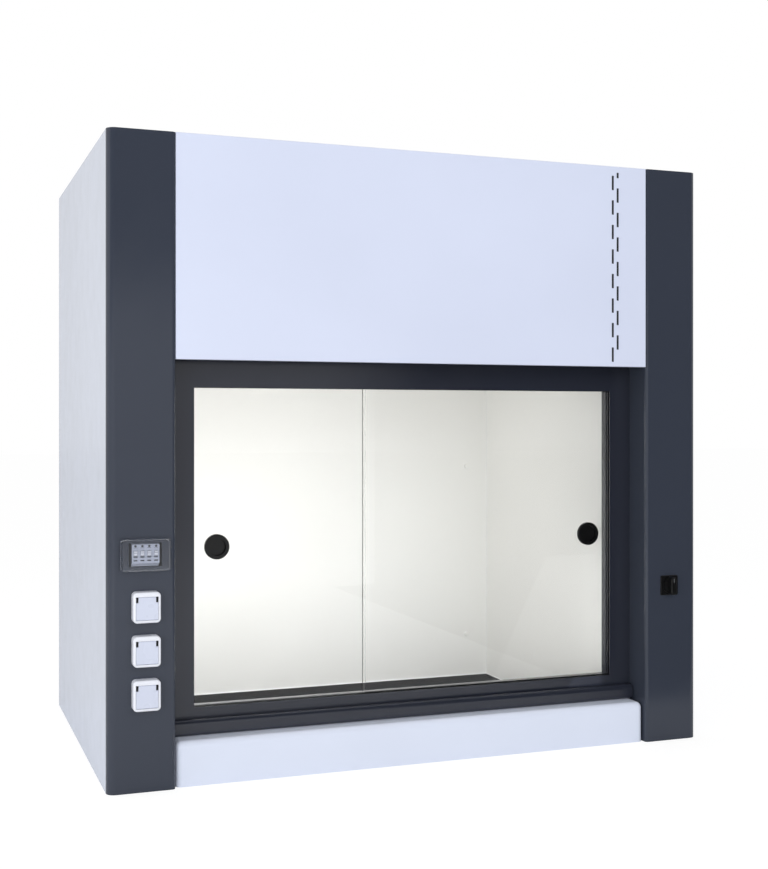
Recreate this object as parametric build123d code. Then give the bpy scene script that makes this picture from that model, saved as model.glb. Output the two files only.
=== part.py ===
from build123d import *
import math
import os

# Benchtop fume hood with a counterbalanced vertical sash that holds two sliding glass panes.
# Millimetres. X runs to the right, Y to the back, Z up. Z = 0 is the bench under the cabinet.
# Most places are given as "behind(d)", a distance d behind the plane of the front face.

os.makedirs("parts", exist_ok=True)

# Cabinet
width = 1500.0
height = 1455.0
depth = 960.0
skin = 1.5                     # outer steel panels
seat = 0.3                     # gap between neighbouring sheet parts
fold = 1.0                     # inside radius of a tight fold
panel_lip = 15.0               # folded edge of an outer panel
past = 1.0                     # how far a cutting shape runs past the face that it opens

# Front pillars
pillar_width = 150.0
pillar_sheet = 2.0
pillar_outer_radius = 20.0
pillar_inner_radius = 8.0
pillar_side_flat = 2.0         # side return, past the outer bend
pillar_flange = 45.0           # folded out behind the recess, against the upright
recess = 82.0                  # front face to the back of the pillar's inner return

# Fascia
fascia_height = 503.0
fascia_return = 20.0
fascia_edge_radius = 1.5

# Sill
sill_top = 100.0
sill_setback = 10.0
sill_end_gap = 2.0
sill_radius = 15.0
sill_wall = 3.0
sill_lap = 10.0                # over the front of the work surface

# Base and work surface
base_height = 10.0
base_sheet = 2.0
base_setback = 2.0             # behind the pillar's inner return
base_rib_width = 40.0
base_rib_spacing = 400.0
worktop_thickness = 12.0
worktop_setback = 2.0          # behind the front of the liners
worktop_edge_radius = 3.0

# Upright posts, one each side
upright_inset = 130.0          # outside of the cabinet to the inner face of the web
upright_sheet = 3.0
upright_flange = 25.0
upright_depth = 148.0

# Chamber
side_bay = 200.0               # outside of the cabinet to the chamber wall
liner_sheet = 4.0
liner_gap = 2.0                # behind the sash
liner_belt_gap = 6.0           # front flange to the belt
liner_tab_end_gap = 20.0       # clear of the pulleys at both ends
rear_plenum = 106.5            # baffle's front to the inside of the rear panel
exhaust_slot = 80.0            # over the baffle
roof_space = 115.0             # ceiling liner's underside to the top of the cabinet
baffle_sheet = 4.0
standoff_radius = 8.0
standoff_inset = 70.0          # from the chamber wall
standoff_low = 150.0
standoff_drop = 60.0           # the highest ones, below the baffle's top
header_rise = 33.0             # header's lower edge over the fascia's

# Lamp
lamp_depth = 300.0             # centre, behind the front face
lamp_opening_x = 560.0
lamp_opening_y = 90.0
lamp_margin_x = 20.0           # opening to the outside of the housing
lamp_margin_y = 15.0
lamp_housing_height = 60.0
lamp_housing_top = 6.0         # thickness of the housing's top, and its corner radius
lamp_flange = 12.0
lamp_tube_radius = 8.0
lamp_tube_end_gap = 30.0       # end of a tube to the outside of the housing
lamp_tube_spacing = 40.0
lamp_tube_drop = 24.0          # axis of a tube below the housing's inside
lampholder_thickness = 4.0
diffuser_thickness = 4.0
diffuser_margin = 12.0

# Exhaust
collar_radius = 125.0
collar_wall = 1.5
collar_height = 60.0
collar_flange = 25.0
collar_root_radius = 0.5
collar_from_back = 260.0       # axis to the back of the cabinet

# Sash
sash_depth = 44.0
stile_width = 58.0
sash_wall = 3.0
sash_behind_fascia = 20.0      # how far the closed sash reaches up behind the fascia
top_rail_height = 80.0
bottom_rail_height = 59.7

# Glass
glass = 6.0
pane_setback = 4.0             # front pane behind the sash front
pane_spacing = 12.0            # front of one pane to the front of the other
pane_clearance = 0.5
groove_depth = 12.0
top_groove_depth = 20.0
pane_in_groove = 8.0
pane_in_top_groove = 12.0
pane_split_x = -125.0          # right-hand edge of the left pane
pane_overlap = 3.0

# Finger pulls
pull_radius = 29.0
pull_lap = 5.0                 # flange over the edge of the hole
pull_flange = 2.5
pull_edge_radius = 1.2
pull_recess_radius = 21.0
pull_floor = 2.5
pull_inset = 54.0              # from the stile
pull_height = 525.0
pull_bore_clearance = 0.3

# Grip bar
grip_height = 36.0
grip_projection = 22.0
grip_nose_radius = 12.0
grip_chin_radius = 5.0
grip_wall = 3.0
grip_end_gap = 3.0
grip_above_sill = 1.0

# Guide rails and glides
rail_width = 18.0
rail_setback = 6.0             # behind the sash front
rail_slot = 16.0
rail_lip = 2.0
rail_head_room = 25.0          # below the top of the cabinet
glide_clearance = 0.3
glide_base_clearance = 2.0
glide_height = 60.0
glide_end_inset = 15.0
glide_edge = 2.0

# Counterbalance
belt_post_gap = 4.0            # belt to the upright
belt_width = 10.0
belt_thickness = 2.0
belt_radius = 24.0
belt_gap = 0.3                 # belt to anything that does not move with it
pulley_setback = 12.0          # axis behind the back of the sash
pulley_low = 60.0
pulley_below_top = 55.0
pulley_flange = 1.0
pulley_flange_rise = 4.0
pulley_side_gap = 0.2
pulley_window_radius = 4.0
pulley_window_circle = 14.0
pulley_windows = 5
axle_radius = 6.0
running_clearance = 0.05       # radial, shaft in a hole
axle_head_radius = 9.0
axle_head = 2.4
axle_nut_radius = 10.0
axle_nut = 6.0
clamp_wall = 3.0               # in front of the belt and behind it
clamp_height = 40.0
clamp_drop = 67.0              # lower end below the sash top
clamp_post_gap = 1.5
weight_gap = 4.0               # to the chamber wall on one side and the belt on the other
weight_setback = 10.0          # behind the liner's front flange
weight_depth = 70.0
weight_height = 430.0
weight_drop = 65.0             # top of the weight below the upper pulley's axis
weight_edge = 4.0
lug_rise = 195.0               # over the weight's lower end

# Cable gland
gland_inset = 70.0             # from the outside of the cabinet
gland_height = 150.0
gland_thread_radius = 10.0
gland_hex_radius = 14.0
gland_hex = 6.0
gland_dome_radius = 11.0
gland_dome_edge = 4.0
gland_proud = 22.0
gland_inside = 10.5
gland_nut = 5.0
gland_bore_radius = 5.0

# Breaker box on the left pillar
feature_inset = 82.5           # outside of the cabinet to the middle of what a pillar carries
breaker_z = 521.5
bezel_width = 112.0
bezel_height = 75.0
bezel_sheet = 4.0
bezel_radius = 8.0
box_width = 76.0
box_height = 56.0
box_wall = 2.0
box_back = 45.0
module_pitch = 15.0
module_gap = 0.2
module_count = 4
module_rise = 2.5              # middle of the breaker noses over the middle of the box
module_edge_radius = 1.0
nose_front = 8.0
nose_height = 42.0
nose_back = 3.0
module_height = 50.0
din_height = 35.0
din_brim = 4.0
din_sheet = 1.0
din_profile = 7.5
toggle_slot_height = 16.0
toggle_side_gap = 0.4
toggle_axis = 3.5              # in front of the pillar face
toggle_barrel_radius = 5.0
toggle_width = 8.0
toggle_reach = 10.5
toggle_lever = 4.0
toggle_lever_inset = 0.5
toggle_tip_radius = 1.2
toggle_rest_angle = 35.0
trunnion_radius = 1.5
trunnion_length = 1.4
door_margin = 2.0              # bezel seen around the cover
door_wall = 2.0
door_front = 20.0
door_front_radius = 3.0
door_barrel_radius = 3.0
door_pin_radius = 1.2
door_pin_length = 3.0
door_ear_inset = 10.5          # side of the cover to the inner side of an ear
door_ear_width = 5.0
door_ear_relief = 0.4          # ear inside the outline of the barrel
door_ear_room = 4.5            # radius cleared in the cover around an ear

# Sockets on the left pillar
socket_count = 3
socket_pitch = 96.0
socket_top_z = 408.5
socket_width = 60.0
socket_height = 67.0
socket_proud = 28.0
socket_corner_radius = 9.0
socket_front_radius = 4.0
lid_width = 48.0
lid_height = 50.0
lid_thickness = 4.5
lid_gap = 0.6
lid_drop = 2.0                 # middle of the lid below the middle of the housing
lid_edge_radius = 1.5
lid_round_relief = 0.05        # keeps the rounded top just short of a half circle
notch_width = 5.0
notch_height = 12.0
lid_seat_gap = 0.3
lid_pin_radius = 1.2
ear_gap = 0.4
well_radius = 19.75
well_depth = 17.0
well_drop = 2.0                # below the middle of the lid
contact_hole_radius = 2.4
contact_spacing = 19.0
contact_depth = 12.0
insert_back = 24.0
insert_back_width = 40.0
cutout_gap = 0.5

# Cam switch on the right pillar
switch_z = 396.0
switch_plate = 50.0
switch_plate_thickness = 3.0
switch_plate_radius = 3.0
switch_plate_edge = 0.8
switch_hole_radius = 12.0
knob_radius = 20.0
knob_base = 4.0
knob_bar_width = 14.5
knob_bar_length = 46.0
knob_bar_flat = 0.5            # from the round corner to the middle of the bar's end
knob_bar_edge = 2.5
knob_front = 25.0
switch_shaft_radius = 4.0
switch_shaft_end = 12.0
switch_body_width = 44.0
switch_body_depth = 50.0
switch_decks = 3
switch_deck_groove = 1.5
switch_waist = 3.0             # depth of the grooves between the decks
switch_body_chamfer = 8.0

# The box around the whole object is centred on the origin, front to back.
front_y = -(socket_proud + depth + gland_proud) / 2 + socket_proud

# Places across the cabinet, measured from its middle
half_width = width / 2
inner_half = half_width - skin - seat
opening_half = half_width - pillar_width
upright_x = half_width - upright_inset
chamber_half_width = half_width - side_bay
lined_half = chamber_half_width - seat
belt_inner_x = upright_x - belt_post_gap - belt_width
feature_x = half_width - feature_inset
left_x = -feature_x

# Places behind the front face
back_face = depth - skin - seat
sash_front = recess - pillar_sheet
sash_back = sash_front + sash_depth
liner_front = sash_back + liner_gap
header_back = liner_front + liner_sheet
worktop_front = liner_front + worktop_setback
baffle_front = depth - skin - rear_plenum
baffle_back = baffle_front + baffle_sheet
collar_depth = depth - collar_from_back
pulley_depth = sash_back + pulley_setback

# Heights over the bench
roof_bottom = height - skin
fascia_bottom = height - fascia_height
worktop_top = base_height + worktop_thickness
ceiling_bottom = height - roof_space
ceiling_top = ceiling_bottom + liner_sheet
baffle_top = ceiling_bottom - exhaust_slot
sash_bottom = sill_top + seat
sash_top = fascia_bottom + sash_behind_fascia
pulley_high = height - pulley_below_top


def behind(d):
    """Y of a plane that lies d behind the front face."""
    return front_y + d


def block(x0, x1, d0, d1, z0, z1):
    """A rectangular solid. Its Y limits are depths behind the front face."""
    centre = Pos((x0 + x1) / 2, behind((d0 + d1) / 2), (z0 + z1) / 2)
    return centre * Box(abs(x1 - x0), abs(d1 - d0), abs(z1 - z0))


def rod(x0, x1, d, z, radius):
    """A round bar along X."""
    return Pos((x0 + x1) / 2, behind(d), z) * Rot(0, 90, 0) * Cylinder(radius, abs(x1 - x0))


def peg(x, d0, d1, z, radius):
    """A round bar along Y, between two depths."""
    return Pos(x, behind((d0 + d1) / 2), z) * Rot(90, 0, 0) * Cylinder(radius, abs(d1 - d0))


def plate(x, z, size_x, size_z, d0, d1, corner):
    """An upright plate with rounded corners, seen from the front, between two depths."""
    outline = RectangleRounded(size_x, size_z, corner)
    face = Plane((x, behind(d1), z), x_dir=(1, 0, 0), z_dir=(0, -1, 0)) * outline
    return extrude(face, amount=d1 - d0)


def across(outline, x0, x1):
    """A section drawn as (depth, height) points, extruded along X."""
    face = Plane((x0, front_y, 0), x_dir=(0, 1, 0), z_dir=(1, 0, 0)) * outline
    return extrude(face, amount=x1 - x0)


def upwards(outline, z0, z1):
    """A section drawn as (x, depth) points, extruded along Z."""
    face = Plane((0, front_y, z0), x_dir=(1, 0, 0), z_dir=(0, 0, 1)) * outline
    return extrude(face, amount=z1 - z0)


def folded_strip(points, radii, thickness):
    """The section of a folded sheet: its left surface follows the points, bent at the radii."""
    path = FilletPolyline(*points, radius=radii)
    return make_face(Wire(path.edges()).offset_2d(thickness, side=Side.RIGHT, closed=True))


def both_sides(right):
    """A right-hand piece and its mirror image."""
    return mirror(right, about=Plane.YZ), right


def save(shape, node):
    export_step(shape, "parts/" + node + ".step")


def save_group(shapes, node):
    save(Compound(children=[Solid(s.solids()[0].wrapped) for s in shapes]), node)


# Base pan: a shallow tray turned over, with three ribs that reach the bench
base_front = recess + base_setback
base_pan = block(-inner_half, inner_half, base_front, back_face, 0, base_height)
base_pan -= block(
    -inner_half + base_sheet, inner_half - base_sheet,
    base_front + base_sheet, back_face - base_sheet,
    0, base_height - base_sheet,
)
for i in (-1, 0, 1):
    rib_x = i * base_rib_spacing
    for edge in (-1, 1):
        wall_x = rib_x + edge * base_rib_width / 2
        base_pan += block(
            wall_x - base_sheet / 2, wall_x + base_sheet / 2,
            base_front + base_sheet, back_face - base_sheet,
            0, base_height - base_sheet,
        )
save(base_pan, "base_pan")

# Work surface: a solid slab between the liners
worktop = block(-lined_half, lined_half, worktop_front, back_face, base_height, worktop_top)
worktop_edge = worktop.edges().filter_by(Axis.X).group_by(Axis.Y)[0].group_by(Axis.Z)[-1]
worktop = fillet(worktop_edge, worktop_edge_radius)
save(worktop, "worktop")

# Uprights: C posts that carry the rails, the pulleys and the front
upright_back = recess + upright_depth
post_path = [
    (upright_x + upright_flange, recess),
    (upright_x, recess),
    (upright_x, upright_back),
    (upright_x + upright_flange, upright_back),
]
post_radii = [upright_sheet + fold, upright_sheet + fold]
upright = upwards(folded_strip(post_path, post_radii, upright_sheet), base_height, roof_bottom)
for pulley_z in (pulley_low, pulley_high):
    upright -= rod(upright_x - past, upright_x + upright_sheet + past, pulley_depth, pulley_z, axle_radius)
left_upright, right_upright = both_sides(upright)
save(left_upright, "left_upright")
save(right_upright, "right_upright")

# Side panels: one skin each, with a folded front edge behind the pillar
pillar_side_return = pillar_outer_radius + pillar_side_flat
panel_front = pillar_side_return + seat
side_panel = block(half_width - skin, half_width, panel_front, depth, 0, height)
side_panel += block(
    half_width - panel_lip, half_width - skin, panel_front, panel_front + skin,
    0, height - pillar_sheet - seat,
)
left_side_panel, right_side_panel = both_sides(side_panel)
save(left_side_panel, "left_side_panel")
save(right_side_panel, "right_side_panel")

# Rear panel: folded forward at both sides, with the hole for the cable gland
rear_panel = block(-inner_half, inner_half, depth - skin, depth, 0, height)
for sign in (-1, 1):
    rear_panel += block(
        sign * inner_half, sign * (inner_half - skin),
        depth - skin - panel_lip, depth - skin,
        base_height + seat, roof_bottom - seat,
    )
gland_x = -(half_width - gland_inset)
rear_panel -= peg(gland_x, depth - skin - past, depth + past, gland_height, gland_thread_radius)
save(rear_panel, "rear_panel")

# Roof panel, pierced for the exhaust
roof_front = recess + seat
roof_panel = block(-inner_half, inner_half, roof_front, back_face, roof_bottom, height)
collar_bore = collar_radius - collar_wall
roof_panel -= Pos(0, behind(collar_depth), roof_bottom) * Cylinder(collar_bore, 4 * skin)
save(roof_panel, "roof_panel")

# Exhaust collar: a flanged spun ring, with a small root radius
collar_top = height + collar_height
collar_flange_radius = collar_radius + collar_flange
collar_section = make_face(
    FilletPolyline(
        (collar_bore, height),
        (collar_flange_radius, height),
        (collar_flange_radius, height + collar_wall),
        (collar_radius, height + collar_wall),
        (collar_radius, collar_top),
        (collar_bore, collar_top),
        (collar_bore, height),
        radius=collar_root_radius,
    )
)
exhaust_collar = revolve(Plane.XZ * collar_section, axis=Axis.Z)
exhaust_collar = Pos(0, behind(collar_depth), 0) * exhaust_collar
save(exhaust_collar, "exhaust_collar")

# Pillars: folded sheet with a rounded outer corner, capped at the top
pillar_path = [
    (half_width, pillar_side_return),
    (half_width, 0),
    (opening_half, 0),
    (opening_half, recess),
    (opening_half + pillar_flange, recess),
]
pillar_radii = [pillar_outer_radius, pillar_inner_radius, pillar_sheet + fold]
pillar_face = folded_strip(pillar_path, pillar_radii, pillar_sheet)
pillar = upwards(pillar_face, 0, height)
cap_path = FilletPolyline(
    (half_width - pillar_sheet, recess - pillar_sheet),
    (half_width - pillar_sheet, pillar_sheet),
    (opening_half + pillar_sheet, pillar_sheet),
    (opening_half + pillar_sheet, recess - pillar_sheet),
    (half_width - pillar_sheet, recess - pillar_sheet),
    radius=[0, pillar_outer_radius - pillar_sheet, pillar_inner_radius - pillar_sheet, 0],
)
pillar += upwards(make_face(cap_path), height - pillar_sheet, height)
left_pillar, right_pillar = both_sides(pillar)

# Openings in the left pillar for the breaker box and the sockets
left_pillar -= block(
    left_x - box_width / 2 - cutout_gap, left_x + box_width / 2 + cutout_gap,
    -past, pillar_sheet + past,
    breaker_z - box_height / 2 - cutout_gap, breaker_z + box_height / 2 + cutout_gap,
)
socket_heights = [socket_top_z - i * socket_pitch for i in range(socket_count)]
back_cut = insert_back_width / 2 + cutout_gap
for z in socket_heights:
    left_pillar -= block(
        left_x - back_cut, left_x + back_cut, -past, pillar_sheet + past, z - back_cut, z + back_cut
    )
save(left_pillar, "left_pillar")

# Hole in the right pillar for the switch shaft
right_pillar -= peg(feature_x, -past, pillar_sheet + past, switch_z, switch_hole_radius)
save(right_pillar, "right_pillar")

# Fascia: a tray with its open side to the back
fascia_half = opening_half - seat
fascia = block(-fascia_half, fascia_half, 0, recess, fascia_bottom, height)
fascia = fillet(fascia.edges().group_by(Axis.Y)[0], fascia_edge_radius)
fascia -= block(
    -fascia_half + pillar_sheet, fascia_half - pillar_sheet,
    pillar_sheet, recess + past,
    fascia_bottom + pillar_sheet, height - pillar_sheet,
)
fascia -= block(
    -fascia_half - past, fascia_half + past, fascia_return, recess + past,
    fascia_bottom - past, height - pillar_sheet,
)
save(fascia, "fascia")

# Sill: a rounded cover, hollow underneath, standing on the bench and the work surface
sill_half = opening_half - sill_end_gap
sill_back = worktop_front + sill_lap


def sill_block(inset):
    """The rounded outside of the sill, or its inside when inset by the wall."""
    half = sill_half - inset
    solid = block(-half, half, sill_setback + inset, sill_back - inset, -inset, sill_top - inset)
    front = solid.faces().sort_by(Axis.Y)[0]
    top = solid.faces().sort_by(Axis.Z)[-1]
    rounded = front.edges().filter_by(Axis.Z)
    rounded += top.edges().filter_by(Axis.Y)
    rounded += top.edges().filter_by(Axis.X).sort_by(Axis.Y)[:1]
    return fillet(rounded, sill_radius - inset)


sill = sill_block(0) - sill_block(sill_wall)
sill_end = sill_half + past
sill -= block(-sill_end, sill_end, worktop_front - seat, sill_back + past, -past, worktop_top)
sill -= block(-sill_end, sill_end, base_front - seat, worktop_front, -past, base_height)
for sign in (-1, 1):
    sill -= block(
        sign * lined_half, sign * sill_end,
        liner_front - seat, sill_back + past, -past, sill_top + past,
    )
save(sill, "sill")

# Liners: side walls of the chamber, flanged at the front between the belt strands
liner_flange_x = belt_inner_x - liner_belt_gap
pulley_flange_radius = belt_radius + pulley_flange_rise
liner = block(
    chamber_half_width, chamber_half_width + liner_sheet,
    liner_front, back_face, base_height, roof_bottom - seat,
)
liner += block(
    chamber_half_width, liner_flange_x,
    liner_front, header_back, base_height, roof_bottom - seat,
)
liner += block(
    liner_flange_x, upright_x - seat,
    liner_front, header_back,
    pulley_low + pulley_flange_radius + liner_tab_end_gap,
    pulley_high - pulley_flange_radius - liner_tab_end_gap,
)
left_liner, right_liner = both_sides(liner)
save(left_liner, "left_liner")
save(right_liner, "right_liner")

# Baffle, with the air slot above it, on stand-offs from the rear panel
baffle = block(-lined_half, lined_half, baffle_front, baffle_back, worktop_top, baffle_top)
save(baffle, "baffle")
standoff_x = chamber_half_width - standoff_inset
standoff_high = baffle_top - standoff_drop
standoff_heights = (standoff_low, (standoff_low + standoff_high) / 2, standoff_high)
standoffs = [
    peg(x, baffle_back, depth - skin, z, standoff_radius)
    for x in (-standoff_x, standoff_x)
    for z in standoff_heights
]
save_group(standoffs, "baffle_standoffs")

# Ceiling liner with the lamp opening, turned up at the front, and the header below it
ceiling_front = header_back + seat
ceiling_liner = block(-lined_half, lined_half, ceiling_front, baffle_back, ceiling_bottom, ceiling_top)
ceiling_liner += block(
    -lined_half, lined_half, ceiling_front, ceiling_front + liner_sheet, ceiling_top, roof_bottom - seat
)
ceiling_liner -= block(
    -lamp_opening_x / 2, lamp_opening_x / 2,
    lamp_depth - lamp_opening_y / 2, lamp_depth + lamp_opening_y / 2,
    ceiling_bottom - past, ceiling_top + past,
)
save(ceiling_liner, "ceiling_liner")
header_bottom = fascia_bottom + header_rise
front_header = block(-lined_half, lined_half, liner_front, header_back, header_bottom, roof_bottom - seat)
save(front_header, "front_header")

# Lamp: folded housing over the ceiling, two tubes between lampholders, clear diffuser
housing_half = lamp_opening_x / 2 + lamp_margin_x
lamp_front = lamp_depth - lamp_opening_y / 2 - lamp_margin_y
lamp_rear = lamp_depth + lamp_opening_y / 2 + lamp_margin_y
housing_top = ceiling_top + lamp_housing_height
housing_inside = housing_top - lamp_housing_top
lamp_housing = block(-housing_half, housing_half, lamp_front, lamp_rear, ceiling_top, housing_top)
lamp_housing = fillet(lamp_housing.edges().group_by(Axis.Z)[-1], lamp_housing_top)
lamp_housing -= block(
    -housing_half + skin, housing_half - skin, lamp_front + skin, lamp_rear - skin,
    ceiling_top - past, housing_inside,
)
lamp_housing += block(
    -housing_half - lamp_flange, housing_half + lamp_flange,
    lamp_front - lamp_flange, lamp_rear + lamp_flange, ceiling_top, ceiling_top + skin,
) - block(
    -housing_half + skin, housing_half - skin, lamp_front + skin, lamp_rear - skin,
    ceiling_top - past, ceiling_top + 2 * skin,
)
tube_z = housing_inside - lamp_tube_drop
tube_half = housing_half - lamp_tube_end_gap
for sign in (-1, 1):
    lamp_housing += block(
        sign * tube_half, sign * (tube_half + lampholder_thickness),
        lamp_depth - lamp_tube_spacing, lamp_depth + lamp_tube_spacing,
        tube_z - lamp_tube_radius, housing_inside,
    )
save(lamp_housing, "lamp_housing")
tubes = [
    rod(-tube_half, tube_half, lamp_depth + sign * lamp_tube_spacing / 2, tube_z, lamp_tube_radius)
    for sign in (-1, 1)
]
save_group(tubes, "lamp_tubes")
lamp_diffuser = block(
    -lamp_opening_x / 2 - diffuser_margin, lamp_opening_x / 2 + diffuser_margin,
    lamp_depth - lamp_opening_y / 2 - diffuser_margin, lamp_depth + lamp_opening_y / 2 + diffuser_margin,
    ceiling_top, ceiling_top + diffuser_thickness,
)
save(lamp_diffuser, "lamp_diffuser")

# Cable gland through the rear panel: hexagon and dome outside, lock nut inside
gland_axis = Plane((gland_x, behind(depth), gland_height), x_dir=(1, 0, 0), z_dir=(0, 1, 0))
cable_gland = extrude(gland_axis * RegularPolygon(gland_hex_radius, 6), amount=gland_hex)
dome_profile = make_face(
    FilletPolyline(
        (0, gland_hex),
        (gland_dome_radius, gland_hex),
        (gland_dome_radius, gland_proud),
        (0, gland_proud),
        (0, gland_hex),
        radius=[0, 0, gland_dome_edge, 0],
    )
)
dome = revolve(Plane.XZ * dome_profile, axis=Axis.Z)
cable_gland += gland_axis.location * dome
cable_gland += peg(gland_x, depth - skin - gland_inside, depth, gland_height, gland_thread_radius)
nut_plane = Plane(
    (gland_x, behind(depth - skin - gland_nut), gland_height), x_dir=(1, 0, 0), z_dir=(0, 1, 0)
)
cable_gland += extrude(nut_plane * RegularPolygon(gland_hex_radius, 6), amount=gland_nut)
bore_front = depth - skin - gland_inside - past
bore_back = depth + gland_proud + past
cable_gland -= peg(gland_x, bore_front, bore_back, gland_height, gland_bore_radius)
save(cable_gland, "cable_gland")

# Guide rails: a U channel each side, open towards the sash
rail_inner_x = upright_x - rail_width
rail_front = sash_front + rail_setback
rail_back = rail_front + rail_slot + 2 * rail_lip
rail_top = height - rail_head_room
rail = block(rail_inner_x, upright_x, rail_front, rail_back, sill_top, rail_top)
rail -= block(
    rail_inner_x - past, upright_x - rail_lip,
    rail_front + rail_lip, rail_back - rail_lip, sill_top - past, rail_top + past,
)
save_group(both_sides(rail), "sash_guide_rails")

# Belts: a closed loop of flat belt each side
pulley_span = pulley_high - pulley_low
belt_middle = (pulley_low + pulley_high) / 2


def racetrack(radius):
    """A loop outline around both pulleys, as (depth, height)."""
    slot = SlotCenterToCenter(pulley_span, 2 * radius, rotation=90)
    return Pos(pulley_depth, belt_middle) * slot


belt = across(
    racetrack(belt_radius + belt_thickness) - racetrack(belt_radius),
    belt_inner_x, belt_inner_x + belt_width,
)
save_group(both_sides(belt), "sash_belts")

# Pulleys: flanged, with windows in the web, running on fixed studs
rim_radius = belt_radius - belt_gap
rim_x0 = belt_inner_x - pulley_side_gap
rim_x1 = belt_inner_x + belt_width + pulley_side_gap
hub_x0 = rim_x0 - pulley_flange - pulley_side_gap
hub_x1 = rim_x1 + pulley_flange + pulley_side_gap


def pulley(z):
    body = rod(rim_x0, rim_x1, pulley_depth, z, rim_radius)
    body += rod(rim_x0 - pulley_flange, rim_x0, pulley_depth, z, pulley_flange_radius)
    body += rod(rim_x1, rim_x1 + pulley_flange, pulley_depth, z, pulley_flange_radius)
    body -= rod(hub_x0, hub_x1, pulley_depth, z, axle_radius + running_clearance)
    for i in range(pulley_windows):
        angle = 2 * math.pi * i / pulley_windows
        window_d = pulley_depth + pulley_window_circle * math.cos(angle)
        window_z = z + pulley_window_circle * math.sin(angle)
        body -= rod(hub_x0, hub_x1, window_d, window_z, pulley_window_radius)
    return body


for pulley_z, level in ((pulley_low, "lower"), (pulley_high, "upper")):
    left_pulley, right_pulley = both_sides(pulley(pulley_z))
    save(left_pulley, "left_" + level + "_pulley")
    save(right_pulley, "right_" + level + "_pulley")

# Pulley axles: headed studs with a collar, through the web, with a nut outside
axles = []
web_outer = upright_x + upright_sheet
for pulley_z in (pulley_low, pulley_high):
    axle = rod(hub_x0 - axle_head, hub_x0, pulley_depth, pulley_z, axle_head_radius)
    axle += rod(hub_x0, web_outer + axle_nut, pulley_depth, pulley_z, axle_radius)
    axle += rod(hub_x1, upright_x, pulley_depth, pulley_z, axle_head_radius)
    axle += rod(web_outer, web_outer + axle_nut, pulley_depth, pulley_z, axle_nut_radius)
    axles.extend(both_sides(axle))
save_group(axles, "pulley_axles")

# Sash frame: hollow extrusions with two glass grooves each
window_half = opening_half - stile_width
window_low = sash_bottom + bottom_rail_height
window_high = sash_top - top_rail_height
front_track = sash_front + pane_setback
rear_track = front_track + pane_spacing


def groove_span(track):
    return track - pane_clearance, track + glass + pane_clearance


stile = block(window_half, opening_half, sash_front, sash_back, sash_bottom, sash_top)
for track in (front_track, rear_track):
    d0, d1 = groove_span(track)
    groove_end = window_half + groove_depth
    stile -= block(window_half - past, groove_end, d0, d1, sash_bottom - past, sash_top + past)
stile -= block(
    window_half + groove_depth + sash_wall, opening_half - sash_wall,
    sash_front + sash_wall, sash_back - sash_wall, sash_bottom - past, sash_top + past,
)
left_stile, right_stile = both_sides(stile)
save(left_stile, "left_stile")
save(right_stile, "right_stile")


def sash_rail(z0, z1, groove_mouth, groove_end):
    """A rail between the stiles, with its grooves running from mouth to end in height."""
    bar = block(-window_half, window_half, sash_front, sash_back, z0, z1)
    for track in (front_track, rear_track):
        d0, d1 = groove_span(track)
        bar -= block(-window_half - past, window_half + past, d0, d1, groove_mouth, groove_end)
    hollow = sorted((groove_end, z0 if groove_end < groove_mouth else z1))
    bar -= block(
        -window_half - past, window_half + past, sash_front + sash_wall, sash_back - sash_wall,
        hollow[0] + sash_wall, hollow[1] - sash_wall,
    )
    return bar


bottom_groove_end = window_low - groove_depth
save(sash_rail(sash_bottom, window_low, window_low + past, bottom_groove_end), "sash_bottom_rail")
top_groove_end = window_high + top_groove_depth
save(sash_rail(window_high, sash_top, window_high - past, top_groove_end), "sash_top_rail")

# Grip bar: a hollow extrusion with a rounded nose, fixed along the bottom rail
grip_low = sill_top + grip_above_sill
grip_high = grip_low + grip_height
grip_front = sash_front - grip_projection
grip_half = opening_half - grip_end_gap
grip_section = make_face(
    FilletPolyline(
        (sash_front, grip_low),
        (sash_front, grip_high),
        (grip_front, grip_high),
        (grip_front, grip_low),
        (sash_front, grip_low),
        radius=[0, 0, grip_nose_radius, grip_chin_radius],
    )
)
grip_core = make_face(
    FilletPolyline(
        (sash_front - grip_wall, grip_low + grip_wall),
        (sash_front - grip_wall, grip_high - grip_wall),
        (grip_front + grip_wall, grip_high - grip_wall),
        (grip_front + grip_wall, grip_low + grip_wall),
        (sash_front - grip_wall, grip_low + grip_wall),
        radius=[0, 0, grip_nose_radius - grip_wall, grip_chin_radius - grip_wall],
    )
)
save(across(grip_section - grip_core, -grip_half, grip_half), "sash_grip")

# Glides: four plastic blocks on the stiles that run in the rails
glides = []
glide_end_x = upright_x - rail_lip - glide_base_clearance
slot_front = rail_front + rail_lip + glide_clearance
slot_back = rail_back - rail_lip - glide_clearance
for z0 in (sash_bottom + glide_end_inset, sash_top - glide_end_inset - glide_height):
    glide = block(opening_half, glide_end_x, slot_front, slot_back, z0, z0 + glide_height)
    glide = chamfer(glide.edges().filter_by(Axis.Y).group_by(Axis.X)[-1], glide_edge)
    glides.extend(both_sides(glide))
save_group(glides, "sash_glides")


def belt_block(x0, z0, strand):
    """A clamp around one belt strand, whose front face lies at the depth strand."""
    clamp = block(
        x0, upright_x - clamp_post_gap,
        strand - clamp_wall, strand + belt_thickness + clamp_wall, z0, z0 + clamp_height,
    )
    return clamp - block(
        belt_inner_x - belt_gap, belt_inner_x + belt_width + belt_gap,
        strand - belt_gap, strand + belt_thickness + belt_gap,
        z0 - past, z0 + clamp_height + past,
    )


# Belt clamps on the sash, around the front strands
front_strand = pulley_depth - belt_radius - belt_thickness
rear_strand = pulley_depth + belt_radius
sash_clamp = belt_block(opening_half, sash_top - clamp_drop, front_strand)
save_group(both_sides(sash_clamp), "sash_belt_clamps")

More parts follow.
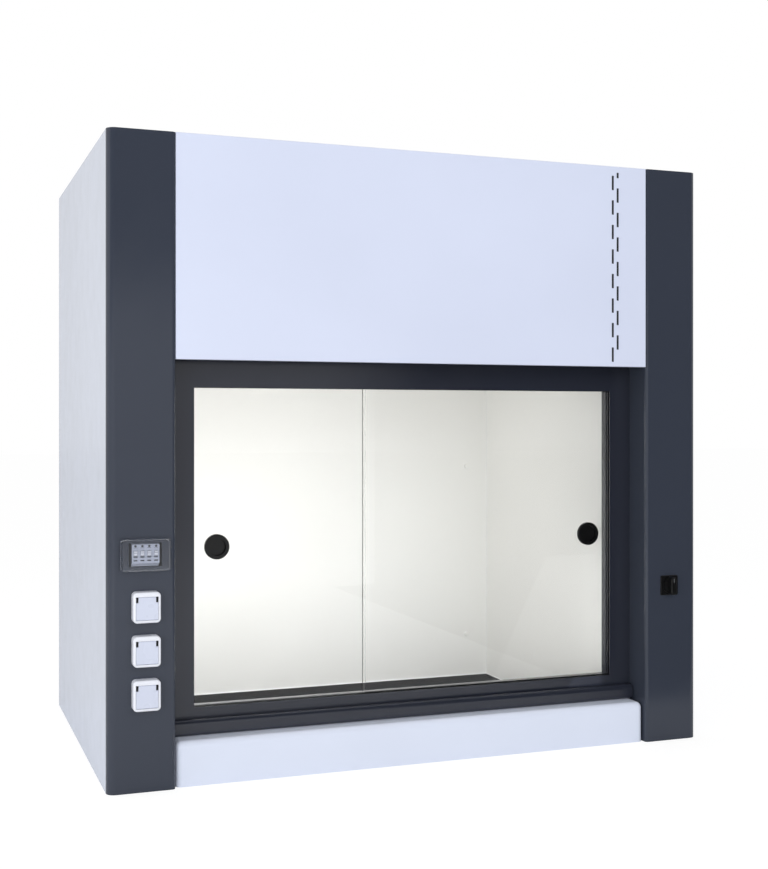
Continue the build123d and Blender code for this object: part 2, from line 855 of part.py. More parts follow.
# Counterweights: steel bars with a lug around the rear strand
weight_inner_x = chamber_half_width + liner_sheet + weight_gap
weight_outer_x = belt_inner_x - weight_gap
weight_front = header_back + weight_setback
weight_low = pulley_high - weight_drop - weight_height
weight = block(
    weight_inner_x, weight_outer_x, weight_front, weight_front + weight_depth,
    weight_low, weight_low + weight_height,
)
weight = chamfer(weight.edges().filter_by(Axis.Z), weight_edge)
weight += belt_block(weight_outer_x, weight_low + lug_rise, rear_strand)
left_weight, right_weight = both_sides(weight)
save(left_weight, "left_counterweight")
save(right_weight, "right_counterweight")

# Glass panes, in the front and rear tracks, each pierced for its pull
pane_low = window_low - groove_depth + seat
pane_high = window_high + pane_in_top_groove
pane_side = window_half + pane_in_groove
pull_x = window_half - pull_inset
pull_hole = pull_radius - pull_lap


def pane(x0, x1, track, hole_x):
    sheet = block(x0, x1, track, track + glass, pane_low, pane_high)
    return sheet - peg(hole_x, track - past, track + glass + past, pull_height, pull_hole)


left_glass = pane(-pane_side, pane_split_x, front_track, -pull_x)
right_glass = pane(pane_split_x - pane_overlap, pane_side, rear_track, pull_x)
save(left_glass, "left_glass")
save(right_glass, "right_glass")


def finger_pull(x, track):
    """A round cup pull that clips into the pane, with a flange on both faces."""
    d0 = track - pull_flange
    d1 = track + glass + pull_flange
    body = peg(x, d0, track, pull_height, pull_radius)
    body = fillet(body.edges().group_by(Axis.Y)[0], pull_edge_radius)
    body += peg(x, track, track + glass, pull_height, pull_hole - pull_bore_clearance)
    body += peg(x, track + glass, d1, pull_height, pull_radius)
    return body - peg(x, d0 - past, d1 - pull_floor, pull_height, pull_recess_radius)


save(finger_pull(-pull_x, front_track), "left_pull")
save(finger_pull(pull_x, rear_track), "right_pull")

# Breaker housing: bezel, rear box, and ears with stub pins for the cover
breaker_housing = plate(left_x, breaker_z, bezel_width, bezel_height, -bezel_sheet, 0, bezel_radius)
breaker_housing += block(
    left_x - box_width / 2, left_x + box_width / 2, 0, box_back,
    breaker_z - box_height / 2, breaker_z + box_height / 2,
)
breaker_housing -= block(
    left_x - box_width / 2 + box_wall, left_x + box_width / 2 - box_wall,
    -bezel_sheet - past, box_back - box_wall,
    breaker_z - box_height / 2 + box_wall, breaker_z + box_height / 2 - box_wall,
)
door_width = bezel_width - 2 * door_margin
door_height = bezel_height - 2 * door_margin
door_ear_x = door_width / 2 - door_ear_inset
door_top = breaker_z + door_height / 2
door_back = bezel_sheet + seat
door_axis_z = door_top - door_barrel_radius
door_axis_d = -(door_back + door_barrel_radius)
ear_radius = door_barrel_radius - door_ear_relief
for sign in (-1, 1):
    ear_x0 = left_x + sign * door_ear_x
    ear_x1 = left_x + sign * (door_ear_x + door_ear_width)
    breaker_housing += rod(ear_x0, ear_x1, door_axis_d, door_axis_z, ear_radius)
    breaker_housing += block(
        ear_x0, ear_x1, door_axis_d, -bezel_sheet, door_axis_z - ear_radius, door_axis_z + ear_radius
    )
    breaker_housing += rod(ear_x1, ear_x1 + sign * door_pin_length, door_axis_d, door_axis_z, door_pin_radius)
save(breaker_housing, "breaker_housing")

# Smoked cover: a deep lid hinged along its top, notched around the ears
breaker_door = plate(left_x, breaker_z, door_width, door_height, -door_front, -door_back, bezel_radius)
breaker_door = fillet(breaker_door.faces().sort_by(Axis.Y)[0].edges(), door_front_radius)
breaker_door -= plate(
    left_x, breaker_z, door_width - 2 * door_wall, door_height - 2 * door_wall,
    -door_front + door_wall, past, bezel_radius - door_wall,
)
knuckle_inner = door_ear_x + door_ear_width + seat
pin_end = knuckle_inner + door_pin_length
for sign in (-1, 1):
    knuckle = rod(
        left_x + sign * knuckle_inner, left_x + sign * door_width / 2,
        door_axis_d, door_axis_z, door_barrel_radius,
    )
    breaker_door += knuckle & plate(
        left_x, breaker_z, door_width, door_height, -door_front, -door_back, bezel_radius
    )
back_corner = block(
    left_x - door_width, left_x + door_width,
    door_axis_d, -door_back + past, door_axis_z, door_top + past,
) - rod(left_x - door_width, left_x + door_width, door_axis_d, door_axis_z, door_barrel_radius)
breaker_door -= back_corner
for sign in (-1, 1):
    breaker_door -= rod(
        left_x + sign * (door_ear_x - seat), left_x + sign * knuckle_inner,
        door_axis_d, door_axis_z, door_ear_room,
    )
    breaker_door -= rod(
        left_x + sign * (knuckle_inner - past), left_x + sign * pin_end,
        door_axis_d, door_axis_z, door_pin_radius + running_clearance,
    )
save(breaker_door, "breaker_door")

# DIN rail: a top-hat strip along the back of the box
rail_half = box_width / 2 - box_wall - seat
din_back = box_back - box_wall
din_front = din_back - din_profile
din_half = din_height / 2
crown = din_half - din_brim
din_section = make_face(
    Polyline(
        (din_front, breaker_z - din_half),
        (din_front, breaker_z - crown),
        (din_back - din_sheet, breaker_z - crown),
        (din_back - din_sheet, breaker_z + crown),
        (din_front, breaker_z + crown),
        (din_front, breaker_z + din_half),
        (din_front + din_sheet, breaker_z + din_half),
        (din_front + din_sheet, breaker_z + crown + din_sheet),
        (din_back, breaker_z + crown + din_sheet),
        (din_back, breaker_z - crown - din_sheet),
        (din_front + din_sheet, breaker_z - crown - din_sheet),
        (din_front + din_sheet, breaker_z - din_half),
        (din_front, breaker_z - din_half),
    )
)
save(across(din_section, left_x - rail_half, left_x + rail_half), "din_rail")

# Breakers: stepped cases side by side, each with a toggle in a slot
module_z = breaker_z + module_rise
module_width = module_pitch - module_gap
module_section = make_face(
    FilletPolyline(
        (-nose_front, module_z - nose_height / 2),
        (nose_back, module_z - nose_height / 2),
        (nose_back, breaker_z - module_height / 2),
        (din_front, breaker_z - module_height / 2),
        (din_front, breaker_z + module_height / 2),
        (nose_back, breaker_z + module_height / 2),
        (nose_back, module_z + nose_height / 2),
        (-nose_front, module_z + nose_height / 2),
        (-nose_front, module_z - nose_height / 2),
        radius=[module_edge_radius, 0, 0, 0, 0, 0, 0, module_edge_radius],
    )
)
toggle_d = -toggle_axis
toggle_slot_half = toggle_width / 2 + toggle_side_gap
lever_half = toggle_width / 2 - toggle_lever_inset
modules = []
for i in range(module_count):
    centre = left_x + (i - (module_count - 1) / 2) * module_pitch
    module = across(module_section, centre - module_width / 2, centre + module_width / 2)
    module -= block(
        centre - toggle_slot_half, centre + toggle_slot_half,
        -nose_front - past, nose_back + past,
        module_z - toggle_slot_height / 2, module_z + toggle_slot_height / 2,
    )
    trunnion_half = toggle_width / 2 + trunnion_length
    module -= rod(
        centre - trunnion_half - seat, centre + trunnion_half + seat,
        toggle_d, module_z, trunnion_radius + running_clearance,
    )
    modules.append(module)

    lever_tip = toggle_d - toggle_reach
    toggle = rod(centre - toggle_width / 2, centre + toggle_width / 2, toggle_d, module_z, toggle_barrel_radius)
    lever = block(
        centre - lever_half, centre + lever_half,
        lever_tip, toggle_d, module_z - toggle_lever / 2, module_z + toggle_lever / 2,
    )
    lever = fillet(lever.edges().filter_by(Axis.X).group_by(Axis.Y)[0], toggle_tip_radius)
    toggle += lever
    toggle += rod(centre - trunnion_half, centre + trunnion_half, toggle_d, module_z, trunnion_radius)
    pivot = Axis((centre, behind(toggle_d), module_z), (-1, 0, 0))
    save(toggle.rotate(pivot, toggle_rest_angle), "breaker_toggle_" + str(i + 1))
save_group(modules, "breaker_modules")

# Sockets: white housing ring, dark insert with the well, lid on a pin at the top
housings = []
inserts = []
pins = []
lid_back = -(socket_proud - lid_thickness)
lid_axis_d = lid_back - lid_thickness / 2
bay_width = lid_width + 2 * lid_gap
bay_height = lid_height + 2 * lid_gap
lid_knuckle_radius = lid_thickness / 2
for i, z in enumerate(socket_heights):
    lid_z = z - lid_drop
    well_z = lid_z - well_drop
    lid_top = lid_z + lid_height / 2
    pin_z = lid_top - lid_knuckle_radius
    ring = plate(left_x, z, socket_width, socket_height, -socket_proud, 0, socket_corner_radius)
    ring = fillet(ring.faces().sort_by(Axis.Y)[0].edges(), socket_front_radius)
    ring -= block(
        left_x - bay_width / 2, left_x + bay_width / 2, -socket_proud - past, past,
        lid_z - bay_height / 2, lid_z + bay_height / 2,
    )
    housings.append(ring)

    insert_face = lid_back + lid_seat_gap
    insert = block(
        left_x - bay_width / 2 + seat, left_x + bay_width / 2 - seat, insert_face, 0,
        lid_z - bay_height / 2 + seat, lid_z + bay_height / 2 - seat,
    )
    insert += block(
        left_x - insert_back_width / 2, left_x + insert_back_width / 2, 0, insert_back,
        z - insert_back_width / 2, z + insert_back_width / 2,
    )
    insert -= peg(left_x, insert_face - past, insert_face + well_depth, well_z, well_radius)
    well_floor = insert_face + well_depth
    for offset in (-contact_spacing / 2, contact_spacing / 2):
        insert -= peg(
            left_x + offset, well_floor - past, well_floor + contact_depth, well_z, contact_hole_radius
        )
    ear_outer = lid_width / 2
    ear_inner = ear_outer - notch_width + ear_gap
    for sign in (-1, 1):
        insert += block(
            left_x + sign * ear_inner, left_x + sign * ear_outer, lid_axis_d, insert_face + past,
            pin_z - lid_knuckle_radius, pin_z + lid_knuckle_radius,
        )
        insert += rod(
            left_x + sign * ear_inner, left_x + sign * ear_outer, lid_axis_d, pin_z, lid_knuckle_radius
        )
    insert -= rod(left_x - ear_outer - past, left_x + ear_outer + past, lid_axis_d, pin_z, lid_pin_radius)
    inserts.append(insert)
    pins.append(rod(left_x - ear_outer, left_x + ear_outer, lid_axis_d, pin_z, lid_pin_radius))

    lid = block(
        left_x - lid_width / 2, left_x + lid_width / 2, -socket_proud, lid_back,
        lid_z - lid_height / 2, lid_top,
    )
    lid = fillet(lid.edges().group_by(Axis.Z)[-1].filter_by(Axis.X), lid_knuckle_radius - lid_round_relief)
    lid = fillet(lid.edges().filter_by(Axis.X).group_by(Axis.Z)[0].group_by(Axis.Y)[0], lid_edge_radius)
    for sign in (-1, 1):
        lid -= block(
            left_x + sign * (lid_width / 2 - notch_width), left_x + sign * (lid_width / 2 + past),
            -socket_proud - past, lid_back + past, lid_top - notch_height, lid_top + past,
        )
    lid -= rod(
        left_x - lid_width, left_x + lid_width, lid_axis_d, pin_z, lid_pin_radius + running_clearance
    )
    save(lid, "socket_lid_" + str(i + 1))
save_group(housings, "socket_housings")
save_group(inserts, "socket_inserts")
save_group(pins, "socket_lid_pins")

# Cam switch: square plate, knob with a bar grip and shaft, stacked body behind the pillar
switch_x = feature_x
shaft_bore = switch_shaft_radius + running_clearance
plate_front = -switch_plate_thickness
switch_plate_piece = plate(
    switch_x, switch_z, switch_plate, switch_plate, plate_front, 0, switch_plate_radius
)
switch_plate_piece = chamfer(switch_plate_piece.faces().sort_by(Axis.Y)[0].edges(), switch_plate_edge)
switch_plate_piece -= peg(switch_x, plate_front - past, past, switch_z, shaft_bore)
save(switch_plate_piece, "switch_plate")

knob_back = plate_front - seat
knob_base_front = knob_back - knob_base
knob = peg(switch_x, knob_base_front, knob_back, switch_z, knob_radius)
bar_radius = knob_bar_width / 2 - knob_bar_flat
bar = plate(switch_x, switch_z, knob_bar_width, knob_bar_length, -knob_front, knob_base_front, bar_radius)
bar = fillet(bar.faces().sort_by(Axis.Y)[0].edges(), knob_bar_edge)
knob += bar
knob += peg(switch_x, knob_back, switch_shaft_end, switch_z, switch_shaft_radius)
save(knob, "switch_knob")

body_half = switch_body_width / 2
switch_body = block(
    switch_x - body_half, switch_x + body_half, pillar_sheet, pillar_sheet + switch_body_depth,
    switch_z - body_half, switch_z + body_half,
)
switch_body = chamfer(switch_body.edges().filter_by(Axis.Y), switch_body_chamfer)
deck = switch_body_depth / switch_decks
for i in range(1, switch_decks):
    groove_d = pillar_sheet + i * deck
    waist = switch_body_width - 2 * switch_waist
    cutter = block(
        switch_x - body_half - past, switch_x + body_half + past, groove_d, groove_d + switch_deck_groove,
        switch_z - body_half - past, switch_z + body_half + past,
    )
    cutter -= plate(
        switch_x, switch_z, waist, waist,
        groove_d - past, groove_d + switch_deck_groove + past, switch_body_chamfer,
    )
    switch_body -= cutter
switch_body -= peg(switch_x, pillar_sheet - past, switch_shaft_end + seat, switch_z, shaft_bore)
save(switch_body, "switch_body")
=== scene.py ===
import math

import bmesh
import bpy
from mathutils import Matrix, Vector


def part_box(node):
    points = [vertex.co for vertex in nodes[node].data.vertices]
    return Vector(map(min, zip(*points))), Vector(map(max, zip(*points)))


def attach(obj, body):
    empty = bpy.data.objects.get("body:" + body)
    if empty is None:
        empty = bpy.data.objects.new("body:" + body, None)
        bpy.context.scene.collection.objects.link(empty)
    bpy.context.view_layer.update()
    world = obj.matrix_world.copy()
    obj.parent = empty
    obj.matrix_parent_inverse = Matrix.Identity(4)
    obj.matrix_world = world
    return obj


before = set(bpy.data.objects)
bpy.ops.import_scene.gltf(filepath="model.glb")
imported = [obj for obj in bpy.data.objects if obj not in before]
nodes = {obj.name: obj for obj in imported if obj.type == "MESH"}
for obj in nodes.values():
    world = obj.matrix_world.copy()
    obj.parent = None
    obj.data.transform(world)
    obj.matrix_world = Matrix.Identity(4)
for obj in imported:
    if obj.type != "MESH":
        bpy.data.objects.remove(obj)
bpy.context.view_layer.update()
scene = bpy.context.scene

# Camera: level, standing left of the cabinet and 2.8 m in front of its face.
# The sight line is turned 20.3 degrees to the right, as in the photograph.
camera_place = (-1.1506, -3.2931, 0.8129)
camera_turn = 20.303
camera_lens = 53.03
camera_shift = -0.01445

camera_data = bpy.data.cameras.new("camera")
camera_data.lens = camera_lens
camera_data.shift_y = camera_shift
camera = bpy.data.objects.new("camera", camera_data)
camera.location = camera_place
camera.rotation_euler = (math.radians(90), 0, math.radians(-camera_turn))
scene.collection.objects.link(camera)
scene.camera = camera
scene.view_settings.view_transform = "Standard"

# Studio: a white room, with soft lamps in front and on the left that light the cabinet evenly.
# The camera sees the room plain white, also through glass. Gloss mirrors it somewhat dimmer.
room_light = 0.62
room_seen = 1.0
cool_white = (0.96, 0.98, 1.0)
cooler_white = (0.94, 0.97, 1.0)


def lamp(name, place, aim, width, height, power, colour=(1, 1, 1)):
    """A soft rectangular lamp that faces the point aim."""
    data = bpy.data.lights.new(name, "AREA")
    data.shape = "RECTANGLE"
    data.size = width
    data.size_y = height
    data.energy = power
    data.color = colour
    made = bpy.data.objects.new(name, data)
    made.location = place
    made.rotation_euler = (Vector(aim) - Vector(place)).to_track_quat("-Z", "Y").to_euler()
    scene.collection.objects.link(made)
    made.visible_camera = False
    made.visible_glossy = False


def link(tree, source, socket):
    """Joins a node's first output to a socket."""
    tree.links.new(source.outputs[0], socket)


world = bpy.data.worlds.new("studio")
scene.world = world
world.use_nodes = True
sky = world.node_tree
sky.nodes.clear()
lit = sky.nodes.new("ShaderNodeBackground")
lit.inputs["Color"].default_value = (1, 1, 1, 1)
lit.inputs["Strength"].default_value = room_light
seen = sky.nodes.new("ShaderNodeBackground")
seen.inputs["Color"].default_value = (1, 1, 1, 1)
seen.inputs["Strength"].default_value = room_seen
path = sky.nodes.new("ShaderNodeLightPath")
any_of = sky.nodes.new("ShaderNodeMath")
any_of.operation = "MAXIMUM"
sky.links.new(path.outputs["Is Camera Ray"], any_of.inputs[0])
sky.links.new(path.outputs["Is Transmission Ray"], any_of.inputs[1])
room = sky.nodes.new("ShaderNodeMixShader")
link(sky, any_of, room.inputs["Fac"])
link(sky, lit, room.inputs[1])
link(sky, seen, room.inputs[2])
link(sky, room, sky.nodes.new("ShaderNodeOutputWorld").inputs["Surface"])

lamp("front_lamp", place=(0.6, -4.6, 2.3), aim=(0, 0, 0.8), width=3.0, height=2.0, power=50,
     colour=cooler_white)
lamp("left_front_lamp", place=(-2.8, -3.6, 0.8), aim=(0, 0, 0.6), width=2.0, height=1.6, power=36,
     colour=cool_white)
lamp("left_lamp", place=(-4.2, 0.1, 1.0), aim=(0, 0, 0.8), width=3.0, height=3.0, power=48,
     colour=cool_white)

# Floor: white studio paper. It takes the cabinet's shadow and fades into the white room,
# because it is lit up for the camera alone.
floor_size = 30.0
floor_tone = 0.82
floor_glow = 1.18
floor_share = 0.72


def new_material(name):
    """An empty node material and its output."""
    material = bpy.data.materials.new(name)
    material.use_nodes = True
    material.node_tree.nodes.clear()
    return material, material.node_tree.nodes.new("ShaderNodeOutputMaterial")


def studio_paper():
    """Matt paper, lit up for the camera so that it ends without a line."""
    material, out = new_material("studio_paper")
    tree = material.node_tree
    paper = tree.nodes.new("ShaderNodeBsdfDiffuse")
    paper.inputs["Color"].default_value = (floor_tone, floor_tone, floor_tone, 1)
    glow = tree.nodes.new("ShaderNodeEmission")
    glow.inputs["Strength"].default_value = floor_glow
    seen_by = tree.nodes.new("ShaderNodeLightPath")
    part = tree.nodes.new("ShaderNodeMath")
    part.operation = "MULTIPLY"
    part.inputs[1].default_value = floor_share
    tree.links.new(seen_by.outputs["Is Camera Ray"], part.inputs[0])
    share = tree.nodes.new("ShaderNodeMixShader")
    link(tree, part, share.inputs["Fac"])
    link(tree, paper, share.inputs[1])
    link(tree, glow, share.inputs[2])
    link(tree, share, out.inputs["Surface"])
    return material


def placed(mesh, name, material):
    """Makes a finished mesh into an object with one material. The mesh is used up."""
    data = bpy.data.meshes.new(name)
    mesh.to_mesh(data)
    mesh.free()
    data.materials.append(material)
    made = bpy.data.objects.new(name, data)
    scene.collection.objects.link(made)
    return made


sheet = bmesh.new()
bmesh.ops.create_grid(sheet, x_segments=1, y_segments=1, size=floor_size)
floor = placed(sheet, "floor", studio_paper())

# Window light: what comes through the sash from the room, given by soft lamps just behind it.
# The left one makes the left half of the chamber brighter, as in the photograph.
lamp("window_lamp", place=(0.0, -0.36, 0.3), aim=(0.1, 1.0, 0.25), width=1.04, height=0.34,
     power=0.8)
lamp("left_window_lamp", place=(-0.3, -0.36, 0.52), aim=(-0.42, 1.0, 0.52), width=0.46,
     height=0.7, power=3.4)

# Flags: black cloth behind the camera. They end the white that the cabinet's front mirrors,
# to the right and above, and neither light the cabinet nor shade it.
flag_y = -3.5
flag_left = 1.03
flag_low = 1.435
flag_reach = 9.0
floor_flag_left = 0.8
floor_flag_back = -0.9
floor_flag_height = 0.001

flag_black = bpy.data.materials.new("flag_black")
flag_black.use_nodes = True
cloth_finish = flag_black.node_tree.nodes["Principled BSDF"].inputs
cloth_finish["Base Color"].default_value = (0.0, 0.0, 0.0, 1)
cloth_finish["Specular IOR Level"].default_value = 0.0

for name, low, high, tilt in (
    ("right_flag", (flag_left, flag_y, 0.0), (flag_reach, flag_y, flag_reach), 90),
    ("top_flag", (-flag_reach, flag_y, flag_low), (flag_left, flag_y, flag_reach), 90),
    ("floor_flag", (floor_flag_left, flag_y, floor_flag_height),
     (flag_reach, floor_flag_back, floor_flag_height), 0),
):
    cloth = bmesh.new()
    middle = Matrix.Translation((Vector(low) + Vector(high)) / 2)
    size = Matrix.Diagonal((*((Vector(high) - Vector(low)) / 2), 1))
    turn = Matrix.Rotation(math.radians(tilt), 4, "X")
    bmesh.ops.create_grid(
        cloth, x_segments=1, y_segments=1, size=1.0, matrix=middle @ size @ turn
    )
    flag = placed(cloth, name, flag_black)
    flag.visible_camera = False
    flag.visible_diffuse = False
    flag.visible_transmission = False
    flag.visible_volume_scatter = False
    flag.visible_shadow = False

# Side, rear and roof panels: folded steel sheet, powder coated pale grey-lilac on both sides.
# Button head screws hold them to the uprights and the base pan, from the back and from above.
panel_colour = (214, 219, 232)
panel_gloss = 0.24
half_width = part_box("right_side_panel")[1].x
back_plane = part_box("rear_panel")[1].y
roof_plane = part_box("roof_panel")[1].z
rear_inset = 0.012
rear_lowest = 0.06
rear_step = 0.19
rear_rows = (0.02, roof_plane - 0.02)
rear_row_step = 0.246
roof_inset = 0.015
roof_foremost = -0.3
roof_step = 0.18
roof_rows = (-0.375, back_plane - 0.018)
roof_row_step = 0.245
screw_radius = 0.0042
screw_rise = 0.55
screw_dome = ((1, 0), (1, 0.25), (0.86, 0.66), (0.62, 0.92), (0.5, 1))
hexagon_radius = 0.42
hexagon_mouth = 0.94
hexagon_depth = 0.6
noise_low = 0.3
noise_high = 0.7
cloud_scale = 14.0
merge_distance = 0.000001
crease_angle = 35


def screen(red, green, blue):
    """A colour as seen on a screen, from 0 to 255, as linear values."""
    def linear(value):
        share = value / 255
        return share / 12.92 if share <= 0.04045 else ((share + 0.055) / 1.055) ** 2.4
    return (linear(red), linear(green), linear(blue), 1)


def tinted(colour, factor):
    """The same colour, darker or lighter."""
    return tuple(min(1.0, value * factor) for value in colour[:3]) + (1,)


def noise(tree, scale, detail=2.0, stretch=(1, 1, 1)):
    """Noise over the piece's own place, so that it keeps still when the piece moves."""
    where = tree.nodes.new("ShaderNodeTexCoord")
    place = tree.nodes.new("ShaderNodeMapping")
    place.inputs["Scale"].default_value = stretch
    texture = tree.nodes.new("ShaderNodeTexNoise")
    texture.inputs["Scale"].default_value = scale
    texture.inputs["Detail"].default_value = detail
    tree.links.new(where.outputs["Object"], place.inputs["Vector"])
    link(tree, place, texture.inputs["Vector"])
    return texture


def shades(tree, source, dark, light, low=noise_low, high=noise_high):
    """A colour that wanders between two shades with a pattern."""
    ramp = tree.nodes.new("ShaderNodeValToRGB")
    ramp.color_ramp.elements[0].position = low
    ramp.color_ramp.elements[0].color = dark
    ramp.color_ramp.elements[1].position = high
    ramp.color_ramp.elements[1].color = light
    link(tree, source, ramp.inputs["Fac"])
    return ramp


def spread(tree, source, low, high):
    """A number that wanders between low and high with a pattern."""
    reach = tree.nodes.new("ShaderNodeMapRange")
    reach.inputs["From Min"].default_value = noise_low
    reach.inputs["From Max"].default_value = noise_high
    reach.inputs["To Min"].default_value = low
    reach.inputs["To Max"].default_value = high
    link(tree, source, reach.inputs["Value"])
    return reach


def bump(tree, source, depth):
    """Relief of a pattern, with its depth in metres."""
    relief = tree.nodes.new("ShaderNodeBump")
    relief.inputs["Distance"].default_value = depth
    relief.inputs["Strength"].default_value = 1.0
    link(tree, source, relief.inputs["Height"])
    return relief


def surface(name, tone, gloss, shine=0.5, drift=0.02, drift_scale=2.5, grain=700.0,
            depth=0.00003, metal=0.0, stretch=(1, 1, 1)):
    """A finish whose shade drifts slightly, with a clouded gloss and a fine grain."""
    material, out = new_material(name)
    tree = material.node_tree
    body = tree.nodes.new("ShaderNodeBsdfPrincipled")
    body.inputs["Metallic"].default_value = metal
    body.inputs["Specular IOR Level"].default_value = shine
    wander = noise(tree, drift_scale)
    shade = shades(tree, wander, tinted(tone, 1 - drift), tinted(tone, 1 + drift))
    link(tree, shade, body.inputs["Base Color"])
    cloud = noise(tree, cloud_scale, 2.0, stretch)
    link(tree, spread(tree, cloud, gloss - 0.02, gloss + 0.03), body.inputs["Roughness"])
    texture = noise(tree, grain, 1.0, stretch)
    link(tree, bump(tree, texture, depth), body.inputs["Normal"])
    link(tree, body, out.inputs["Surface"])
    return material


def middle_of(name):
    """The middle of a CAD piece's box."""
    low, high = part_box(name)
    return (low + high) / 2


def dress(material, *names):
    """Gives CAD pieces their finish."""
    for name in names:
        for place in nodes[name].material_slots:
            place.material = material


def piece(mesh, name, material, body):
    """Makes a finished mesh into a piece that rides on a body."""
    bmesh.ops.remove_doubles(mesh, verts=mesh.verts, dist=merge_distance)
    bmesh.ops.recalc_face_normals(mesh, faces=mesh.faces)
    made = placed(mesh, name, material)
    made.data.shade_smooth()
    made.data.set_sharp_from_angle(angle=math.radians(crease_angle))
    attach(made, body)


def turned(profile, steps=24):
    """A solid of revolution about Z, from its outline as (radius, height)."""
    made = bmesh.new()
    verts = [made.verts.new((radius, 0, height)) for radius, height in profile]
    sides = [made.edges.new(pair) for pair in zip(verts, verts[1:])]
    bmesh.ops.spin(made, geom=verts + sides, cent=(0, 0, 0), axis=(0, 0, 1),
                   angle=2 * math.pi, steps=steps, use_merge=True)
    bmesh.ops.remove_doubles(made, verts=made.verts, dist=merge_distance)
    return made


def strew(mesh, shape, places, facing):
    """Copies a shape to places, with its Z turned to a direction. The shape is used up."""
    pattern = bpy.data.meshes.new("pattern")
    shape.to_mesh(pattern)
    shape.free()
    turn = Vector(facing).to_track_quat("Z", "Y").to_matrix().to_4x4()
    for place in places:
        before = len(mesh.verts)
        mesh.from_mesh(pattern)
        mesh.verts.ensure_lookup_table()
        bmesh.ops.transform(mesh, matrix=Matrix.Translation(place) @ turn,
                            verts=mesh.verts[before:])
    bpy.data.meshes.remove(pattern)


def button_screw(radius):
    """The head of a button head screw, with a six-sided socket."""
    rise = screw_rise * radius
    head = turned([(wide * radius, high * rise) for wide, high in screw_dome])
    lip = [side for side in head.edges if side.is_boundary and side.verts[0].co.z > 0.9 * rise]
    hole = bmesh.ops.create_circle(
        head, segments=6, radius=hexagon_radius * radius,
        matrix=Matrix.Translation((0, 0, hexagon_mouth * rise)),
    )
    rim = list({side for vert in hole["verts"] for side in vert.link_edges})
    bmesh.ops.bridge_loops(head, edges=lip + rim)
    wall = bmesh.ops.extrude_edge_only(head, edges=rim)["geom"]
    deep = [item for item in wall if isinstance(item, bmesh.types.BMVert)]
    bmesh.ops.translate(head, vec=(0, 0, -hexagon_depth * rise), verts=deep)
    bottom = [item for item in wall if isinstance(item, bmesh.types.BMEdge)]
    bmesh.ops.holes_fill(head, edges=bottom, sides=6)
    return head


panel_paint = surface("panel_paint", screen(*panel_colour), gloss=panel_gloss)
dress(panel_paint, "left_side_panel", "right_side_panel", "rear_panel", "roof_panel")

screw_steel = surface("screw_steel", screen(176, 178, 182), gloss=0.3, metal=1.0, drift=0.04,
                      depth=0.00001)
rear_places = [(sign * (half_width - rear_inset), back_plane, rear_lowest + rear_step * i)
               for sign in (-1, 1) for i in range(8)]
rear_places += [(rear_row_step * i, back_plane, height)
                for i in range(-2, 3) for height in rear_rows]
rear_screws = bmesh.new()
strew(rear_screws, button_screw(screw_radius), rear_places, facing=(0, 1, 0))
piece(rear_screws, "rear_screws", screw_steel, "root")

roof_places = [(sign * (half_width - roof_inset), roof_foremost + roof_step * i, roof_plane)
               for sign in (-1, 1) for i in range(5)]
roof_places += [(roof_row_step * i, place, roof_plane)
                for i in range(-2, 3) for place in roof_rows]
roof_screws = bmesh.new()
strew(roof_screws, button_screw(screw_radius), roof_places, facing=(0, 0, 1))
piece(roof_screws, "roof_screws", screw_steel, "root")

# Exhaust collar: a spun steel ring with a flat flange, coated like the roof.
# Eight blind rivets hold it, and a bead of grey sealant closes the joint.
flange_radius = (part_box("exhaust_collar")[1].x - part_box("exhaust_collar")[0].x) / 2
collar = middle_of("exhaust_collar")
collar_foot = Vector((collar.x, collar.y, roof_plane))
flange_thickness = 0.0015
rivet_count = 8
rivet_circle = flange_radius - 0.012
rivet_outline = ((0.0034, 0), (0.0034, 0.0004), (0.0028, 0.0011), (0.0012, 0.0014),
                 (0.0011, 0.0008), (0, 0.0008))
bead_radius = flange_radius + 0.0008
bead_outline = ((-0.0008, 0), (-0.0008, 0.0013), (0.0002, 0.0012), (0.0012, 0.0006),
                (0.0016, 0))

dress(panel_paint, "exhaust_collar")
rivet_places = []
for i in range(rivet_count):
    angle = math.radians((i + 0.5) * 360 / rivet_count)
    rivet_places.append(collar_foot + Vector(
        (rivet_circle * math.cos(angle), rivet_circle * math.sin(angle), flange_thickness)
    ))
rivets = bmesh.new()
strew(rivets, turned(rivet_outline, steps=16), rivet_places, facing=(0, 0, 1))
rivet_alloy = surface("rivet_alloy", screen(205, 207, 210), gloss=0.35, metal=1.0, drift=0.03,
                      depth=0.00001)
piece(rivets, "collar_rivets", rivet_alloy, "root")

bead = turned([(bead_radius + out, up) for out, up in bead_outline], steps=96)
bead_ring = bmesh.new()
strew(bead_ring, bead, [collar_foot], facing=(0, 0, 1))
sealant = surface("sealant", screen(188, 190, 194), gloss=0.45, drift=0.04, drift_scale=30.0,
                  grain=160.0, depth=0.0002)
piece(bead_ring, "collar_sealant", sealant, "root")

# Front pillars: folded steel with a rounded outer corner, powder coated dark blue-grey.
# Each one hooks onto its upright and is capped at the top.
pillar_colour = (57, 62, 74)
pillar_gloss = 0.17

pillar_paint = surface("pillar_paint", screen(*pillar_colour), gloss=pillar_gloss)
dress(pillar_paint, "left_pillar", "right_pillar")

# Fascia: a folded tray between the pillars, in the side panels' colour lightened by painted light.
# Near its right end it carries two printed lines of dashes, set half a step apart.
fascia_colour_painted_light = (219, 225, 245)
fascia_low, fascia_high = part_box("fascia")
front_plane = fascia_low.y
dash_print = 0.00012
dash_width = 0.0055
dash_length = 0.036
dash_step = 0.0616
dash_columns = (0.504, 0.518)
dash_foot = fascia_low.z + 0.012
dash_top = fascia_high.z - 0.0155


